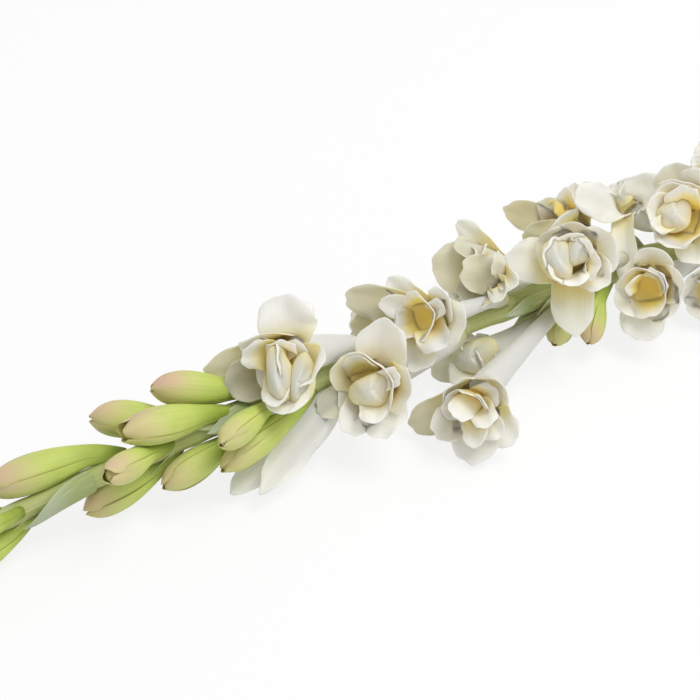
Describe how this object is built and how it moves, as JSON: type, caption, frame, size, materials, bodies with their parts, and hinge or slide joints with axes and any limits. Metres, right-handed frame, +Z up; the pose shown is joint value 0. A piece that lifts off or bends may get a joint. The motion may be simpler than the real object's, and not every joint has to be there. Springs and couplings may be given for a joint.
{
  "type": "tuberose flower stem",
  "caption": "Cut stem of double tuberose lying down: closed green buds at the tip, ivory trumpet florets with cupped inner petals, pointed bracts and a bare lower stem",
  "frame": {"origin": "middle of the whole stem's box, on the surface that it lies on", "axes": "+X runs along the stem towards its cut end, the flower tip points to -X, +Z is up from the surface"},
  "size_m": [0.5402, 0.087, 0.0623],
  "materials": {
    "stem_green": "matt green skin with fine lengthwise ribs",
    "bud_green": "soft yellow-green, pink at the tips",
    "petal_ivory": "matt ivory petal with a satin touch",
    "heart_cream": "matt cream petal, warm yellow at the base",
    "bract_green": "thin pale grey-green leaf"
  },
  "bodies": {
    "root": {"bract_1": "bract_green", "bract_2": "bract_green", "bract_3": "bract_green", "bract_4": "bract_green", "bract_5": "bract_green", "bract_6": "bract_green", "bract_7": "bract_green", "bud_back_1": "bud_green", "bud_back_2": "bud_green", "bud_front_1": "bud_green", "bud_front_2": "bud_green", "bud_front_3": "bud_green", "bud_low_1": "bud_green", "bud_low_2": "bud_green", "bud_lower_1": "bud_green", "bud_lower_2": "bud_green", "bud_side_1": "bud_green", "bud_side_2": "bud_green", "bud_tip_1": "bud_green", "bud_tip_2": "bud_green", "bud_tip_3": "bud_green", "bud_tip_4": "bud_green", "bud_upper_1": "bud_green", "bud_upper_2": "bud_green", "bud_white": "bud_green", "floret_1_corolla": "petal_ivory", "floret_1_heart": "heart_cream", "floret_2_corolla": "petal_ivory", "floret_2_heart": "heart_cream", "floret_3_corolla": "petal_ivory", "floret_3_heart": "heart_cream", "floret_4_corolla": "petal_ivory", "floret_4_heart": "heart_cream", "floret_5_corolla": "petal_ivory", "floret_5_heart": "heart_cream", "floret_6_corolla": "petal_ivory", "floret_6_heart": "heart_cream", "floret_7_corolla": "petal_ivory", "floret_7_heart": "heart_cream", "floret_8_corolla": "petal_ivory", "floret_8_heart": "heart_cream", "floret_9_corolla": "petal_ivory", "floret_9_heart": "heart_cream", "floret_10_corolla": "petal_ivory", "floret_10_heart": "heart_cream", "floret_11_corolla": "petal_ivory", "floret_11_heart": "heart_cream", "floret_12_corolla": "petal_ivory", "floret_12_heart": "heart_cream", "floret_13_corolla": "petal_ivory", "floret_13_heart": "heart_cream", "floret_14_corolla": "petal_ivory", "floret_14_heart": "heart_cream", "floret_15_corolla": "petal_ivory", "floret_15_heart": "heart_cream", "floret_16_corolla": "petal_ivory", "floret_16_heart": "heart_cream", "floret_17_corolla": "petal_ivory", "floret_17_heart": "heart_cream", "stem": "stem_green"}
  },
  "joints": []
}
